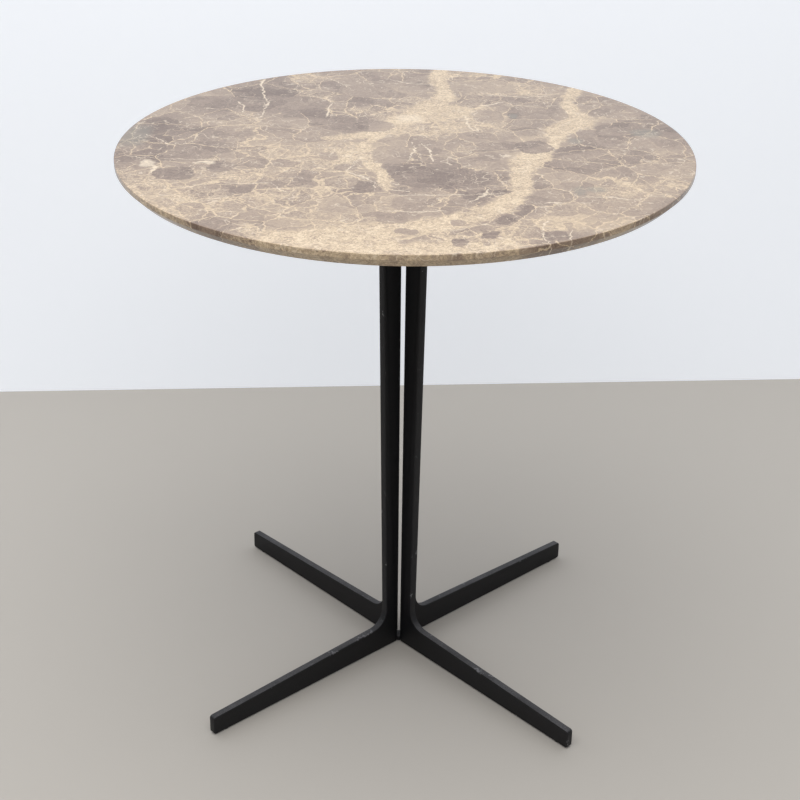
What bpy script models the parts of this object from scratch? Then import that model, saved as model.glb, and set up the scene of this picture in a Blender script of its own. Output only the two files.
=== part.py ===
"""Round pedestal table: a bevelled marble disc on four L-shaped steel blades set in a cross.

Metres, +Z up. The origin is on the floor, under the middle of the top, and the blades stand on
the diagonals between +X and +Y.
"""

import math

import bmesh
import bpy
from mathutils import Matrix, Vector
from mathutils.geometry import intersect_line_line_2d

# Clearance between two pieces that touch.
GAP = 0.0003

# Marble top: an upright band under the table's surface, then a 45 degree bevel to the underside.
TABLE_HEIGHT = 0.720
TOP_DIAMETER = 0.700
TOP_THICKNESS = 0.017
TOP_EDGE_BAND = 0.0065
TOP_ARRIS = 0.0005

# Blades: a foot that tapers to its tip, and a post that widens to its head.
BLADE_THICKNESS = 0.0095
BLADE_ARRIS = 0.0006
FOOT_REACH = 0.325
FOOT_HEIGHT_AT_AXIS = 0.0381
FOOT_HEIGHT_AT_TIP = 0.0270
TIP_TOP_ROUND = 0.0038
TIP_BOTTOM_ROUND = 0.0030
HEEL_FILLET = 0.0240
POST_INNER_AT_FLOOR = 0.0071
POST_INNER_AT_HEAD = 0.0093
POST_OUTER_AT_FLOOR = 0.0266
POST_OUTER_AT_HEAD = 0.0397

# Steel slug that the four heels are welded to.
HUB_DIAMETER = 0.0160
HUB_TOP = 0.0080

# Nylon glides pressed into the undersides of the feet.
GLIDE_HEAD_DIAMETER = 0.0084
GLIDE_HEAD_THICKNESS = 0.0012
GLIDE_STEM_DIAMETER = 0.0040
GLIDE_STEM_LENGTH = 0.0090
GLIDE_FROM_TIP = 0.0200

# Steel plate under the marble, and the countersunk screws that hold the posts to it.
PLATE_DIAMETER = 0.300
PLATE_THICKNESS = 0.0050
PLATE_ARRIS = 0.0005
POST_SCREW_DIAMETER = 0.0050
POST_SCREW_LENGTH = 0.0200
POST_SCREW_HEAD_DIAMETER = 0.0096
POST_SCREW_SOCKET = 0.0030
POST_SCREW_SOCKET_SHARE = 0.8  # the socket's depth over the head's
DRILL_OVERRUN = 0.00125
POST_SCREW_EDGE = 0.0072

# Screws from below, through plate and pad, into inserts glued in the marble.
TOP_SCREW_CIRCLE = 0.240
TOP_SCREW_DIAMETER = 0.0060
TOP_SCREW_HEAD_DIAMETER = 0.0105
TOP_SCREW_HEAD_HEIGHT = 0.0033
TOP_SCREW_SOCKET = 0.0040
TOP_SCREW_SOCKET_SHARE = 0.6  # the socket's depth over the head's height
TOP_SCREW_SLOPE_SHARE = 1 / 3  # the sloped part of the head's height
TOP_SCREW_FACE_SHARE = 0.8  # the flat face over the head's width
TOP_SCREW_SPARE_DEPTH = 0.0010
WASHER_DIAMETER = 0.0160
WASHER_THICKNESS = 0.0015
PAD_DIAMETER = 0.0360
PAD_THICKNESS = 0.0015
INSERT_DIAMETER = 0.0100
INSERT_LENGTH = 0.0100

# Fineness of round shapes.
DISC_STEPS = 128
SMALL_STEPS = 24
HEEL_STEPS = 10
TIP_STEPS = 4
SHARP_ANGLE = math.radians(30)
FLAT_ANGLE = math.radians(0.5)
MERGE = 0.00001

# Heights and places that follow from the sizes above.
TOP_UNDERSIDE = TABLE_HEIGHT - TOP_THICKNESS
PAD_TOP = TOP_UNDERSIDE - GAP
PLATE_TOP = PAD_TOP - PAD_THICKNESS - GAP
PLATE_UNDERSIDE = PLATE_TOP - PLATE_THICKNESS
POST_HEAD = PLATE_UNDERSIDE - GAP
FOOT_UNDERSIDE = GLIDE_HEAD_THICKNESS + GAP
GLIDE_RADIUS = FOOT_REACH - GLIDE_FROM_TIP
POST_SCREW_RADII = (POST_INNER_AT_HEAD + POST_SCREW_EDGE, POST_OUTER_AT_HEAD - POST_SCREW_EDGE)
POST_SCREW_HEAD_DEPTH = (POST_SCREW_HEAD_DIAMETER - POST_SCREW_DIAMETER) / 2

LEG_ANGLES = {"front_left": 225, "front_right": 315, "rear_right": 45, "rear_left": 135}
TOP_SCREW_ANGLES = {"front": 270, "right": 0, "rear": 90, "left": 180}


def cleared_collections():
    """Empties the scene and returns a collection for the table's pieces and one for the cutters."""
    for obj in list(bpy.data.objects):
        bpy.data.objects.remove(obj, do_unlink=True)
    made = []
    for name in ("round_pedestal_table", "cutters"):
        collection = bpy.data.collections.new(name)
        bpy.context.scene.collection.children.link(collection)
        made.append(collection)
    return made


TABLE, CUTTERS = cleared_collections()


def material(name, colour, roughness, metallic):
    made = bpy.data.materials.new(name)
    made.use_nodes = True
    shader = made.node_tree.nodes["Principled BSDF"]
    shader.inputs["Base Color"].default_value = (*colour, 1.0)
    shader.inputs["Roughness"].default_value = roughness
    shader.inputs["Metallic"].default_value = metallic
    return made


def placed(name, mesh, finish, at=(0.0, 0.0, 0.0), turn=0.0):
    """A piece of the table: the mesh under its own name and material, turned about +Z in degrees."""
    obj = bpy.data.objects.new(name, mesh)
    obj.location = at
    obj.rotation_euler = (0.0, 0.0, math.radians(turn))
    obj.data.materials.clear()
    obj.data.materials.append(finish)
    TABLE.objects.link(obj)
    return obj


def helper(mesh, name="helper"):
    """A shape that only cuts or gets cut, kept out of the table."""
    obj = bpy.data.objects.new(name, mesh)
    obj.hide_render = True
    obj.display_type = "WIRE"
    CUTTERS.objects.link(obj)
    return obj


def finished(obj, name):
    """The mesh that an object's modifiers make, shaded smooth between its sharp edges."""
    bpy.context.view_layer.update()
    evaluated = obj.evaluated_get(bpy.context.evaluated_depsgraph_get())
    mesh = bpy.data.meshes.new_from_object(evaluated)
    mesh.name = name
    mesh.shade_smooth()
    mesh.set_sharp_from_angle(angle=SHARP_ANGLE)
    return mesh


def tidied(mesh):
    """The same mesh with doubled points merged, each flat face made one, and every face turned outwards."""
    edit = bmesh.new()
    edit.from_mesh(mesh)
    bmesh.ops.remove_doubles(edit, verts=edit.verts, dist=MERGE)
    bmesh.ops.dissolve_limit(edit, angle_limit=FLAT_ANGLE, verts=edit.verts, edges=edit.edges)
    bmesh.ops.recalc_face_normals(edit, faces=edit.faces)
    edit.to_mesh(mesh)
    edit.free()
    return mesh


def turned(name, profile, steps=SMALL_STEPS):
    """The mesh of a turned piece: (radius, height) points, down the outside, spun about +Z."""
    mesh = bpy.data.meshes.new(name + "_profile")
    mesh.from_pydata([(r, 0.0, z) for r, z in profile], [(i, i + 1) for i in range(len(profile) - 1)], [])
    obj = helper(mesh, name + "_profile")
    screw = obj.modifiers.new("turn", "SCREW")
    screw.steps = steps
    screw.render_steps = steps
    screw.use_merge_vertices = True
    screw.merge_threshold = MERGE
    return tidied(finished(obj, name))


def rod(name, radius, low, high, steps=SMALL_STEPS):
    return turned(name, [(0.0, high), (radius, high), (radius, low), (0.0, low)], steps)


def ring(name, outer, inner, low, high, steps=SMALL_STEPS):
    walls = [(inner, high), (outer, high), (outer, low), (inner, low), (inner, high)]
    return turned(name, walls, steps)


def cut(mesh, name, cutters):
    """The mesh less each cutter, where a cutter is (mesh, place)."""
    body = helper(mesh, name + "_uncut")
    for index, (cutter_mesh, at) in enumerate(cutters):
        cutter = helper(cutter_mesh, f"{name}_cutter_{index}")
        cutter.location = at
        boolean = body.modifiers.new(f"cut_{index}", "BOOLEAN")
        boolean.operation = "DIFFERENCE"
        boolean.solver = "EXACT"
        boolean.object = cutter
    return finished(body, name)


def on_circle(radius, degrees):
    angle = math.radians(degrees)
    return Vector((radius * math.cos(angle), radius * math.sin(angle), 0.0))


def rounded(corners):
    """Points of an outline whose corners are (across, up, radius, steps), each a tangent arc."""
    points = []
    for index, (across, up, radius, steps) in enumerate(corners):
        here = Vector((across, up))
        before = Vector(corners[index - 1][:2])
        after = Vector(corners[(index + 1) % len(corners)][:2])
        if radius == 0.0:
            points.append(here)
            continue
        back, on = (before - here).normalized(), (after - here).normalized()
        half = back.angle(on) / 2
        middle = here + (back + on).normalized() * radius / math.sin(half)
        spoke = here + back * radius / math.tan(half) - middle
        sweep = spoke.angle_signed(here + on * radius / math.tan(half) - middle)
        for step in range(steps + 1):
            turn = Matrix.Rotation(-sweep * step / steps, 2)
            points.append(middle + turn @ spoke)
    return points


def plate_cut_to(name, outline, thickness):
    """The mesh of an outline in X and Z, given a thickness along Y."""
    curve = bpy.data.curves.new(name, "CURVE")
    curve.dimensions = "2D"
    curve.fill_mode = "BOTH"
    curve.extrude = thickness / 2
    spline = curve.splines.new("POLY")
    spline.points.add(len(outline) - 1)
    for point, (across, up) in zip(spline.points, outline):
        point.co = (across, up, 0.0, 1.0)
    spline.use_cyclic_u = True
    obj = helper(curve, name + "_outline")
    mesh = finished(obj, name)
    bpy.data.objects.remove(obj, do_unlink=True)
    mesh.transform(Matrix.Rotation(math.radians(90), 4, "X"))
    return tidied(mesh)


def eased(mesh, name, width):
    """The mesh with its sharp edges rounded over."""
    obj = helper(mesh, name + "_sharp")
    bevel = obj.modifiers.new("arris", "BEVEL")
    bevel.width = width
    bevel.segments = 2
    bevel.limit_method = "ANGLE"
    bevel.angle_limit = SHARP_ANGLE
    return finished(obj, name)


def post_screw_places():
    """Where the countersunk screws stand, two in the head of each post."""
    for side, angle in LEG_ANGLES.items():
        for row, radius in zip(("inner", "outer"), POST_SCREW_RADII):
            yield f"{side}_{row}", on_circle(radius, angle)


def top_screw_places():
    for side, angle in TOP_SCREW_ANGLES.items():
        yield side, on_circle(TOP_SCREW_CIRCLE / 2, angle)


# Finishes.
marble = material("honed_marble", (0.56, 0.47, 0.38), 0.3, 0.0)
powder_coat = material("black_powder_coat", (0.018, 0.018, 0.020), 0.5, 0.3)
zinc = material("zinc_plated_steel", (0.60, 0.61, 0.62), 0.35, 0.9)
brass = material("brass_insert", (0.72, 0.55, 0.28), 0.35, 0.9)
nylon = material("black_nylon", (0.03, 0.03, 0.03), 0.6, 0.0)
rubber = material("rubber_pad", (0.05, 0.05, 0.05), 0.85, 0.0)


# Marble top, with a blind hole for each insert.
def marble_top():
    edge = TOP_DIAMETER / 2
    profile = [
        (0.0, TABLE_HEIGHT),
        (edge - TOP_ARRIS, TABLE_HEIGHT),
        (edge, TABLE_HEIGHT - TOP_ARRIS),
        (edge, TABLE_HEIGHT - TOP_EDGE_BAND),
        (edge - (TOP_THICKNESS - TOP_EDGE_BAND), TOP_UNDERSIDE),
        (0.0, TOP_UNDERSIDE),
    ]
    disc = turned("marble_disc", profile, DISC_STEPS)
    hole_top = TOP_UNDERSIDE + INSERT_LENGTH + 2 * GAP
    drill = rod("insert_drill", INSERT_DIAMETER / 2 + GAP, TOP_UNDERSIDE - INSERT_LENGTH, hole_top)
    return cut(disc, "marble_top", [(drill, place) for _, place in top_screw_places()])


placed("marble_top", marble_top(), marble)


# Mounting plate, with countersinks for the posts' screws and clear holes for the top's.
def mounting_plate():
    edge = PLATE_DIAMETER / 2
    profile = [
        (0.0, PLATE_TOP),
        (edge - PLATE_ARRIS, PLATE_TOP),
        (edge, PLATE_TOP - PLATE_ARRIS),
        (edge, PLATE_UNDERSIDE + PLATE_ARRIS),
        (edge - PLATE_ARRIS, PLATE_UNDERSIDE),
        (0.0, PLATE_UNDERSIDE),
    ]
    disc = turned("plate_disc", profile, DISC_STEPS)
    shank = POST_SCREW_DIAMETER / 2 + GAP
    head = POST_SCREW_HEAD_DIAMETER / 2 + GAP
    overrun = DRILL_OVERRUN
    countersink = turned(
        "countersink",
        [
            (0.0, PLATE_TOP + overrun),
            (head + overrun, PLATE_TOP + overrun),
            (shank, PLATE_TOP - POST_SCREW_HEAD_DEPTH),
            (shank, PLATE_UNDERSIDE - overrun),
            (0.0, PLATE_UNDERSIDE - overrun),
        ],
    )
    clear = rod("clear_drill", TOP_SCREW_DIAMETER / 2 + GAP, PLATE_UNDERSIDE - overrun, PLATE_TOP + overrun)
    holes = [(countersink, place) for _, place in post_screw_places()]
    holes += [(clear, place) for _, place in top_screw_places()]
    return cut(disc, "mounting_plate", holes)


placed("mounting_plate", mounting_plate(), powder_coat)


# Four blades, alike: outline, eased edges, two screw holes in the head and a glide hole near the tip.
def leg_blade():
    notch = HUB_DIAMETER / 2 + GAP
    heel = intersect_line_line_2d(
        Vector((0.0, FOOT_HEIGHT_AT_AXIS)),
        Vector((FOOT_REACH, FOOT_HEIGHT_AT_TIP)),
        Vector((POST_OUTER_AT_FLOOR, 0.0)),
        Vector((POST_OUTER_AT_HEAD, POST_HEAD)),
    )
    slant = (POST_INNER_AT_HEAD - POST_INNER_AT_FLOOR) / POST_HEAD
    outline = rounded(
        [
            (notch, FOOT_UNDERSIDE, 0.0, 0),
            (FOOT_REACH, FOOT_UNDERSIDE, TIP_BOTTOM_ROUND, TIP_STEPS),
            (FOOT_REACH, FOOT_HEIGHT_AT_TIP, TIP_TOP_ROUND, TIP_STEPS),
            (heel.x, heel.y, HEEL_FILLET, HEEL_STEPS),
            (POST_OUTER_AT_HEAD, POST_HEAD, 0.0, 0),
            (POST_INNER_AT_HEAD, POST_HEAD, 0.0, 0),
            (POST_INNER_AT_FLOOR + slant * (HUB_TOP + GAP), HUB_TOP + GAP, 0.0, 0),
            (notch, HUB_TOP + GAP, 0.0, 0),
        ]
    )
    blade = eased(plate_cut_to("blade", outline, BLADE_THICKNESS), "blade_eased", BLADE_ARRIS)
    hole_foot = PLATE_TOP - POST_SCREW_LENGTH - GAP
    tap = rod("tap_drill", POST_SCREW_DIAMETER / 2 + GAP, hole_foot, PLATE_TOP)
    glide_hole_top = GLIDE_HEAD_THICKNESS + GLIDE_STEM_LENGTH + GAP
    glide_drill = rod("glide_drill", GLIDE_STEM_DIAMETER / 2 + GAP, -FOOT_UNDERSIDE, glide_hole_top)
    holes = [(tap, (radius, 0.0, 0.0)) for radius in POST_SCREW_RADII]
    holes.append((glide_drill, (GLIDE_RADIUS, 0.0, 0.0)))
    return cut(blade, "leg_blade", holes)


blade_mesh = leg_blade()
for side, angle in LEG_ANGLES.items():
    placed("leg_" + side, blade_mesh, powder_coat, turn=angle)

placed("foot_hub", rod("foot_hub", HUB_DIAMETER / 2, FOOT_UNDERSIDE, HUB_TOP), powder_coat)


# Glides: a flat head under the foot and a stem pressed into it.
def glide():
    head, stem = GLIDE_HEAD_DIAMETER / 2, GLIDE_STEM_DIAMETER / 2
    tip = GLIDE_HEAD_THICKNESS + GLIDE_STEM_LENGTH
    profile = [
        (0.0, tip),
        (stem, tip),
        (stem, GLIDE_HEAD_THICKNESS),
        (head, GLIDE_HEAD_THICKNESS),
        (head, 0.0),
        (0.0, 0.0),
    ]
    return turned("glide", profile)


glide_mesh = glide()
for side, angle in LEG_ANGLES.items():
    placed("glide_" + side, glide_mesh, nylon, at=on_circle(GLIDE_RADIUS, angle))


# Countersunk screws, heads level with the plate and shanks down into the posts.
def post_screw():
    head, shank = POST_SCREW_HEAD_DIAMETER / 2, POST_SCREW_DIAMETER / 2
    profile = [
        (0.0, PLATE_TOP),
        (head, PLATE_TOP),
        (shank, PLATE_TOP - POST_SCREW_HEAD_DEPTH),
        (shank, PLATE_TOP - POST_SCREW_LENGTH),
        (0.0, PLATE_TOP - POST_SCREW_LENGTH),
    ]
    depth = POST_SCREW_HEAD_DEPTH * POST_SCREW_SOCKET_SHARE
    key = POST_SCREW_SOCKET / 2 / math.cos(math.radians(30))
    socket = rod("post_screw_key", key, PLATE_TOP - depth, PLATE_TOP + depth, 6)
    return cut(turned("post_screw_blank", profile), "post_screw", [(socket, (0.0, 0.0, 0.0))])


post_screw_mesh = post_screw()
for side, place in post_screw_places():
    placed("post_screw_" + side, post_screw_mesh, zinc, at=place)


# Top fixings on one circle: insert, pad, washer and a round-headed screw with a hexagon socket.
def top_screw():
    head, shank = TOP_SCREW_HEAD_DIAMETER / 2, TOP_SCREW_DIAMETER / 2
    seat = PLATE_UNDERSIDE - GAP - WASHER_THICKNESS - GAP
    tip = TOP_UNDERSIDE + INSERT_LENGTH - TOP_SCREW_SPARE_DEPTH
    under = seat - TOP_SCREW_HEAD_HEIGHT
    profile = [
        (0.0, tip),
        (shank, tip),
        (shank, seat),
        (head, seat),
        (head, under + TOP_SCREW_HEAD_HEIGHT * TOP_SCREW_SLOPE_SHARE),
        (head * TOP_SCREW_FACE_SHARE, under),
        (0.0, under),
    ]
    depth = TOP_SCREW_HEAD_HEIGHT * TOP_SCREW_SOCKET_SHARE
    key = TOP_SCREW_SOCKET / 2 / math.cos(math.radians(30))
    socket = rod("top_screw_key", key, under - depth, under + depth, 6)
    return cut(turned("top_screw_blank", profile), "top_screw", [(socket, (0.0, 0.0, 0.0))])


clear_radius = TOP_SCREW_DIAMETER / 2 + GAP
washer_top = PLATE_UNDERSIDE - GAP
fixings = {
    "top_screw": (top_screw(), zinc),
    "top_washer": (
        ring("washer", WASHER_DIAMETER / 2, clear_radius, washer_top - WASHER_THICKNESS, washer_top),
        zinc,
    ),
    "top_pad": (
        ring("pad", PAD_DIAMETER / 2, clear_radius, PAD_TOP - PAD_THICKNESS, PAD_TOP),
        rubber,
    ),
    "top_insert": (
        ring(
            "insert",
            INSERT_DIAMETER / 2,
            clear_radius,
            TOP_UNDERSIDE + GAP,
            TOP_UNDERSIDE + GAP + INSERT_LENGTH,
        ),
        brass,
    ),
}
for side, place in top_screw_places():
    for kind, (mesh, finish) in fixings.items():
        placed(f"{kind}_{side}", mesh, finish, at=place)
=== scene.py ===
"""Looks of a round pedestal table: a veined marble disc on four black steel blades set in a cross.

Metres, +Z up. The origin is on the floor under the middle of the top, -Y is the front.
"""

import math

import bpy
import numpy as np
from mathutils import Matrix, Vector


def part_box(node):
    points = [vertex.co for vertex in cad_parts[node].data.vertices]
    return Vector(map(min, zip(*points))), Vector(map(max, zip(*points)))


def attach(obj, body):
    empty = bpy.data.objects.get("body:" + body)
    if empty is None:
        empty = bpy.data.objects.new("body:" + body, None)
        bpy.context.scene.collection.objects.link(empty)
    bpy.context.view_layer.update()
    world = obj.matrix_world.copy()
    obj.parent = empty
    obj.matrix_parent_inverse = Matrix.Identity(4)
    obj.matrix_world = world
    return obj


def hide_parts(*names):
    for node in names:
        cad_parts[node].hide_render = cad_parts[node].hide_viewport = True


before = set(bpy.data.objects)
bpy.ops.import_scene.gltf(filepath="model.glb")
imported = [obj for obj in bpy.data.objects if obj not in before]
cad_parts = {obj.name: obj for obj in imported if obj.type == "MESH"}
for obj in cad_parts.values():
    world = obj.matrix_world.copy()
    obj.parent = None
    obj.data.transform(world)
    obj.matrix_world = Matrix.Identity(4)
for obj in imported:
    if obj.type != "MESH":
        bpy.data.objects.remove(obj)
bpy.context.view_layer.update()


# ---------------------------------------------------------------------------------------------
# Room. A pale matt floor and a pale wall behind the table, both plain. One white panel
# hangs above, and floor and wall are seen from their fronts only, so the table shows all round.
# ---------------------------------------------------------------------------------------------
WALL_BEHIND = 0.806
WALL_TURN = math.radians(6.1)
ROOM_HALF_WIDTH = 9.0
WALL_HEIGHT = 4.5
FLOOR_COLOUR = (0.49, 0.465, 0.43)
WALL_COLOUR = (0.80, 0.83, 0.88)
WALL_GLOW = 0.345


def part(tree, kind, inputs=None, settings=None, out=0):
    """Adds one shader node and returns its output: inputs are values or other outputs, by socket."""
    node = tree.nodes.new(kind)
    for key, value in (settings or {}).items():
        setattr(node, key, value)
    for key, value in (inputs or {}).items():
        socket = node.inputs[key]
        if isinstance(value, bpy.types.NodeSocket):
            tree.links.new(value, socket)
        else:
            socket.default_value = value
    return node.outputs[out]


def finish_named(name):
    """A new material and its shader, whose plain values are set on the shader's own sockets."""
    made = bpy.data.materials.new(name)
    made.use_nodes = True
    return made, made.node_tree, made.node_tree.nodes["Principled BSDF"]


def flat_sheet(name, corners, finish):
    """One flat face through four corners, given anticlockwise as seen from its front."""
    mesh = bpy.data.meshes.new(name)
    mesh.from_pydata([tuple(c) for c in corners], [], [(0, 1, 2, 3)])
    mesh.materials.append(finish)
    obj = bpy.data.objects.new(name, mesh)
    bpy.context.scene.collection.objects.link(obj)
    return obj


def matt_paint(name, colour, glow):
    """Matt paint with an even glow that stands in for a wash of light, see-through from behind."""
    made, tree, shader = finish_named(name)
    shader.inputs["Base Color"].default_value = (*colour, 1.0)
    shader.inputs["Roughness"].default_value = 0.9
    shader.inputs["Specular IOR Level"].default_value = 0.1
    shader.inputs["Emission Color"].default_value = (*colour, 1.0)
    shader.inputs["Emission Strength"].default_value = glow
    behind = part(tree, "ShaderNodeNewGeometry", out="Backfacing")
    clear = part(tree, "ShaderNodeBsdfTransparent")
    outlet = tree.nodes["Material Output"].inputs["Surface"]
    mixed = part(tree, "ShaderNodeMixShader", {0: behind, 1: shader.outputs[0], 2: clear})
    tree.links.new(mixed, outlet)
    return made


def room():
    """The floor reaches the wall's foot and beyond it, and the wall stands on it."""
    reach = ROOM_HALF_WIDTH
    floor = [(-reach, -reach, 0), (reach, -reach, 0), (reach, reach, 0), (-reach, reach, 0)]
    flat_sheet("floor", floor, matt_paint("floor_paint", FLOOR_COLOUR, 0.0))
    along = Vector((math.cos(WALL_TURN), math.sin(WALL_TURN), 0.0)) * reach
    foot = Vector((0.0, WALL_BEHIND, 0.0))
    up = Vector((0.0, 0.0, WALL_HEIGHT))
    wall = [foot - along, foot + along, foot + along + up, foot - along + up]
    flat_sheet("wall", wall, matt_paint("wall_paint", WALL_COLOUR, WALL_GLOW))


def panel_light(name, at, towards, width, watts, colour):
    """A square soft panel of light."""
    lamp = bpy.data.lights.new(name, "AREA")
    lamp.shape = "SQUARE"
    lamp.size = width
    lamp.energy = watts
    lamp.color = colour
    obj = bpy.data.objects.new(name, lamp)
    obj.location = at
    obj.rotation_euler = (Vector(towards) - Vector(at)).to_track_quat("-Z", "Y").to_euler()
    bpy.context.scene.collection.objects.link(obj)


def daylight(strength, colour):
    """Even light from all round, as in a white room."""
    world = bpy.data.worlds.new("room_light")
    world.use_nodes = True
    sky = world.node_tree.nodes["Background"]
    sky.inputs["Color"].default_value = (*colour, 1.0)
    sky.inputs["Strength"].default_value = strength
    bpy.context.scene.world = world


def camera(at, turn_degrees, lens):
    view = bpy.data.cameras.new("camera")
    view.lens = lens
    view.sensor_width = 36.0
    view.clip_end = 50.0
    obj = bpy.data.objects.new("camera", view)
    obj.location = at
    obj.rotation_euler = [math.radians(a) for a in turn_degrees]
    bpy.context.scene.collection.objects.link(obj)
    bpy.context.scene.camera = obj


room()
daylight(0.44, (0.96, 0.975, 1.0))
panel_light("ceiling_panel", (-0.15, -0.75, 2.9), (0.0, -0.1, 0.0), 3.2, 74.0, (1.0, 0.985, 0.96))
camera((0.07874, -1.93645, 1.35647), (63.1595, -0.6556, 2.7307), 74.672)
bpy.context.scene.view_settings.view_transform = "Standard"


# ---------------------------------------------------------------------------------------------
# Marble top. A disc sawn from a slab of brown and cream breccia, honed on its face, with a
# short upright edge and a wide bevel under it. It lies on four rubber pads, screwed from below.
# ---------------------------------------------------------------------------------------------
top_low, top_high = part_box("marble_top")
TOP_EDGE = top_high.x
EDGE_BAND = 0.0065
TOP_ARRIS = 0.0009
BEVEL_ARRIS = 0.0008
TOP_STEPS = 288
DISC_ROWS = 6
ARC_STEPS = 5
ARC_SPACING = 0.0015
SHARP = math.radians(32)
insert_low, insert_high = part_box("top_insert_front")
INSERT_HOLE = (insert_high.x - insert_low.x) / 2 + 0.0003


def eased_outline(corners, closed=False):
    """Points of an outline in (across, up), each corner (across, up, radius) rounded by an arc.

    The arc of radius r touches both sides at r / tan(h) from the corner, where h is half the
    corner's angle, about a centre r / sin(h) along the bisector; its points are centre plus
    spoke turned by even shares of the sweep.
    """
    points = []
    count = len(corners)
    for index, (across, up, radius) in enumerate(corners):
        here = np.array((across, up))
        if radius == 0.0 or (not closed and index in (0, count - 1)):
            points.append(here[None])
            continue
        back = np.array(corners[index - 1][:2]) - here
        on = np.array(corners[(index + 1) % count][:2]) - here
        back, on = back / np.linalg.norm(back), on / np.linalg.norm(on)
        half = math.acos(np.clip(back @ on, -1, 1)) / 2
        middle = here + (back + on) / np.linalg.norm(back + on) * radius / math.sin(half)
        first = here + back * radius / math.tan(half) - middle
        last = here + on * radius / math.tan(half) - middle
        sweep = math.atan2(first[0] * last[1] - first[1] * last[0], first @ last)
        steps = max(ARC_STEPS, round(radius / ARC_SPACING))
        angles = sweep * np.linspace(0, 1, steps + 1)
        cos, sin = np.cos(angles), np.sin(angles)
        spokes = np.stack((first[0] * cos - first[1] * sin, first[0] * sin + first[1] * cos), 1)
        points.append(middle + spokes)
    return np.concatenate(points)


def mesh_of(name, points, faces, split=SHARP):
    """A mesh of these points and faces, shaded smooth but for edges sharper than split."""
    mesh = bpy.data.meshes.new(name)
    mesh.from_pydata(points.tolist(), [], faces)
    mesh.validate()
    mesh.shade_smooth()
    mesh.set_sharp_from_angle(angle=split)
    return mesh


def turned(name, profile, steps, shape=None, ring=False):
    """A turned piece: the profile (radius, height), down its outside, carried round +Z.

    Point (i, j) is (r cos a, r sin a, z) for profile point i and angle a = 2 pi j / steps, where
    shape(i, a, r, z) may give another r. A profile that starts and ends on the axis closes with
    one point at each pole; a ring's profile closes on itself.
    """
    profile = np.asarray(profile, float)
    walls = profile if ring else profile[1:-1]
    angle = 2 * np.pi * np.arange(steps) / steps
    row, a = np.meshgrid(np.arange(len(walls)), angle, indexing="ij")
    r = np.repeat(walls[:, :1], steps, 1)
    z = np.repeat(walls[:, 1:], steps, 1)
    if shape:
        r = shape(row, a, r, z)
    points = np.stack((r * np.cos(a), r * np.sin(a), z), -1).reshape(-1, 3)
    upper = np.arange(len(walls) if ring else len(walls) - 1)[:, None] * steps
    here = np.arange(steps)[None]
    after = (here + 1) % steps
    total = len(walls) * steps
    lower = (upper + steps) % total
    quads = np.stack((upper + here, lower + here, lower + after, upper + after), -1).reshape(-1, 4)
    faces = quads.tolist()
    if not ring:
        last = (len(walls) - 1) * steps
        points = np.vstack((points, (0, 0, profile[0, 1]), (0, 0, profile[-1, 1])))
        faces += np.stack((np.full(steps, total), here[0], after[0]), -1).tolist()
        faces += np.stack((np.full(steps, total + 1), last + after[0], last + here[0]), -1).tolist()
    return mesh_of(name, points, faces)


def moved(mesh, across=0.0, along=0.0, up=0.0, turn=0.0):
    """A copy of the mesh, turned about +Z and then moved."""
    copy = mesh.copy()
    cos, sin = math.cos(turn), math.sin(turn)
    points = np.empty(len(copy.vertices) * 3)
    copy.vertices.foreach_get("co", points)
    x, y, z = points.reshape(-1, 3).T
    place = np.stack((x * cos - y * sin + across, x * sin + y * cos + along, z + up), 1)
    copy.vertices.foreach_set("co", place.ravel())
    copy.update()
    return copy


def rod(name, radius, low, high, steps=32):
    return turned(name, [(0, high), (radius, high), (radius, low), (0, low)], steps)


def drilled(mesh, drills):
    """The mesh less each drill's shape, shaded as before."""
    body = bpy.data.objects.new("blank", mesh)
    bpy.context.scene.collection.objects.link(body)
    helpers = [body]
    for drill in drills:
        cutter = bpy.data.objects.new("drill", drill)
        bpy.context.scene.collection.objects.link(cutter)
        helpers.append(cutter)
        hole = body.modifiers.new("hole", "BOOLEAN")
        hole.operation = "DIFFERENCE"
        hole.solver = "EXACT"
        hole.object = cutter
    bpy.context.view_layer.update()
    ready = body.evaluated_get(bpy.context.evaluated_depsgraph_get())
    made = bpy.data.meshes.new_from_object(ready)
    for helper in helpers:
        bpy.data.objects.remove(helper)
    made.shade_smooth()
    made.set_sharp_from_angle(angle=SHARP)
    return made


def fitted(name, mesh, finish, node=None):
    """The mesh as a piece of the table, in place of the CAD node of the same name."""
    obj = bpy.data.objects.new(name + "_look", mesh)
    mesh.materials.clear()
    mesh.materials.append(finish)
    bpy.context.scene.collection.objects.link(obj)
    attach(obj, "root")
    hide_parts(node or name)
    return obj


def middle_of(node):
    """The point under the middle of a CAD node, across and along."""
    low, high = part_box(node)
    return (low.x + high.x) / 2, (low.y + high.y) / 2


SIDES = ("front", "right", "rear", "left")
CORNERS = ("front_left", "front_right", "rear_right", "rear_left")


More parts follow.
